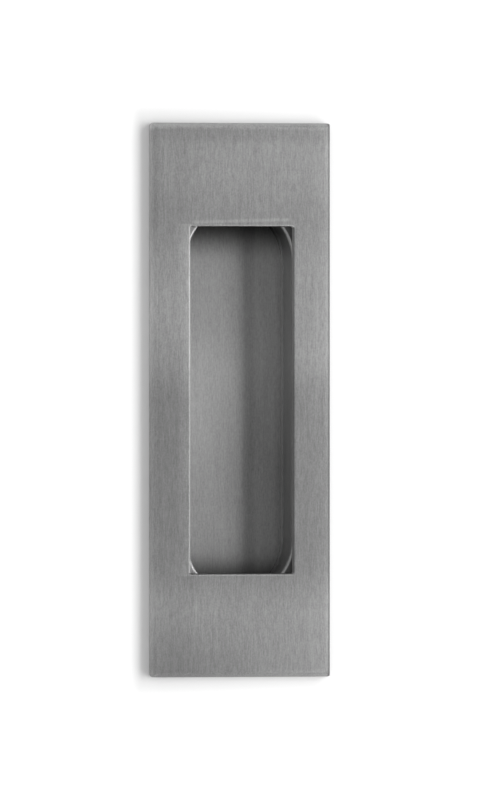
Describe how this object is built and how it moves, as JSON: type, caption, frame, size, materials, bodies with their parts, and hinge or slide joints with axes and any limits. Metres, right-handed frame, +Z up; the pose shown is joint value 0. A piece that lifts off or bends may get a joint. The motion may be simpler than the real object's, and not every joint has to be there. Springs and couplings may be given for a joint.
{
  "type": "recessed pull handle",
  "caption": "Flat rectangular pull handle with a finger cup recessed behind a window, fixed to a sliding door by screws hidden under the cover.",
  "frame": {"origin": "centre of the four fixing screws, on the face of the door", "axes": "+Z up the door along the cover's length, +Y into the door, so the front faces -Y, and +X to the right seen from the front"},
  "size_m": [0.05, 0.0183, 0.15],
  "materials": {
    "cover_steel": "stainless steel, brushed along its length",
    "cup_steel": "stainless steel, satin brushed before drawing",
    "screw_steel": "zinc plated"
  },
  "bodies": {
    "root": {"cover_plate": "cover_steel", "cup_base": "cup_steel", "fixing_screw_1": "screw_steel", "fixing_screw_2": "screw_steel", "fixing_screw_3": "screw_steel", "fixing_screw_4": "screw_steel"}
  },
  "joints": []
}
